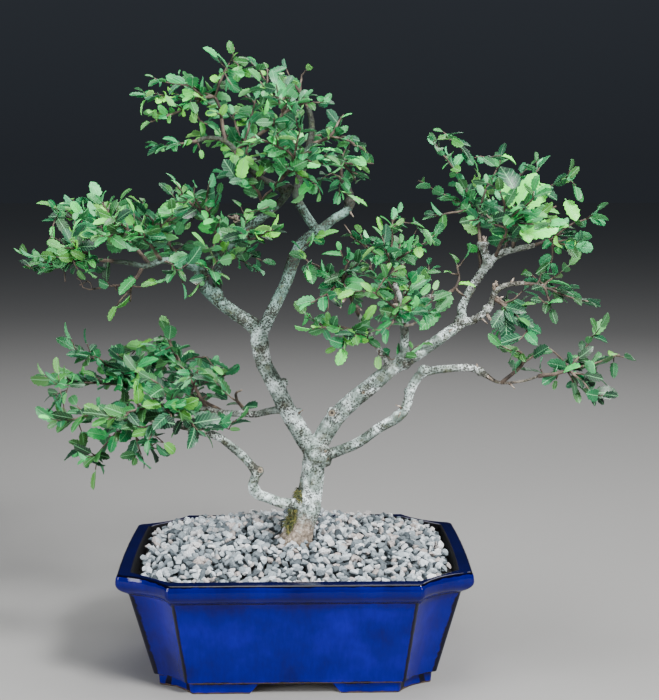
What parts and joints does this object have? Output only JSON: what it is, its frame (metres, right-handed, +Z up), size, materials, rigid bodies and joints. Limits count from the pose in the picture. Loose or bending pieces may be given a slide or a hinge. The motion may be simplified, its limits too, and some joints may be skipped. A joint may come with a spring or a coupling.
{
  "type": "chinese elm bonsai in a glazed pot",
  "caption": "Informal small-leaved elm bonsai with a forked trunk and layered foliage pads, in a rectangular glazed pot with cut corners, feet and a gravel top dressing.",
  "frame": {"origin": "bottom centre of the bounding box of the whole tree and pot, on the surface that the pot's feet stand on", "axes": "+Z up, +Y towards the back of the tree, +X to the right as seen from its front"},
  "size_m": [0.4608, 0.2074, 0.486],
  "materials": {
    "cobalt_glaze": "glossy cobalt glaze, darker where it breaks over edges, bare stoneware under the feet",
    "elm_bark": "pale grey flaking bark with lichen and lenticels",
    "elm_leaf": "leathery semi-gloss leaf, paler underneath, on red-brown twigs",
    "crushed_stone": "matte crushed blue-grey stone with some pink grains",
    "potting_soil": "dark granular bonsai soil bound by roots",
    "mesh_plastic": "black plastic mesh"
  },
  "bodies": {
    "root": {"drain_screen_left": "mesh_plastic", "drain_screen_right": "mesh_plastic", "gravel": "crushed_stone", "pot": "cobalt_glaze", "soil": "potting_soil", "spray_centre_tuft_1": "elm_leaf", "spray_centre_tuft_2": "elm_leaf", "spray_centre_tuft_3": "elm_leaf", "spray_centre_tuft_4": "elm_leaf", "spray_centre_tuft_5": "elm_leaf", "spray_centre_tuft_6": "elm_leaf", "spray_crown_1": "elm_leaf", "spray_crown_10": "elm_leaf", "spray_crown_2": "elm_leaf", "spray_crown_3": "elm_leaf", "spray_crown_4": "elm_leaf", "spray_crown_5": "elm_leaf", "spray_crown_6": "elm_leaf", "spray_crown_7": "elm_leaf", "spray_crown_8": "elm_leaf", "spray_crown_9": "elm_leaf", "spray_far_twig_1": "elm_leaf", "spray_far_twig_2": "elm_leaf", "spray_far_twig_3": "elm_leaf", "spray_far_twig_4": "elm_leaf", "spray_left_shelf_1": "elm_leaf", "spray_left_shelf_2": "elm_leaf", "spray_left_shelf_3": "elm_leaf", "spray_left_shelf_4": "elm_leaf", "spray_left_shelf_5": "elm_leaf", "spray_left_shelf_6": "elm_leaf", "spray_left_shelf_7": "elm_leaf", "spray_left_shelf_8": "elm_leaf", "spray_low_shelf_1": "elm_leaf", "spray_low_shelf_2": "elm_leaf", "spray_low_shelf_3": "elm_leaf", "spray_low_shelf_4": "elm_leaf", "spray_low_shelf_5": "elm_leaf", "spray_low_shelf_6": "elm_leaf", "spray_low_shelf_7": "elm_leaf", "spray_right_crown_1": "elm_leaf", "spray_right_crown_2": "elm_leaf", "spray_right_crown_3": "elm_leaf", "spray_right_crown_4": "elm_leaf", "spray_right_crown_5": "elm_leaf", "tree": "elm_bark"}
  },
  "joints": []
}
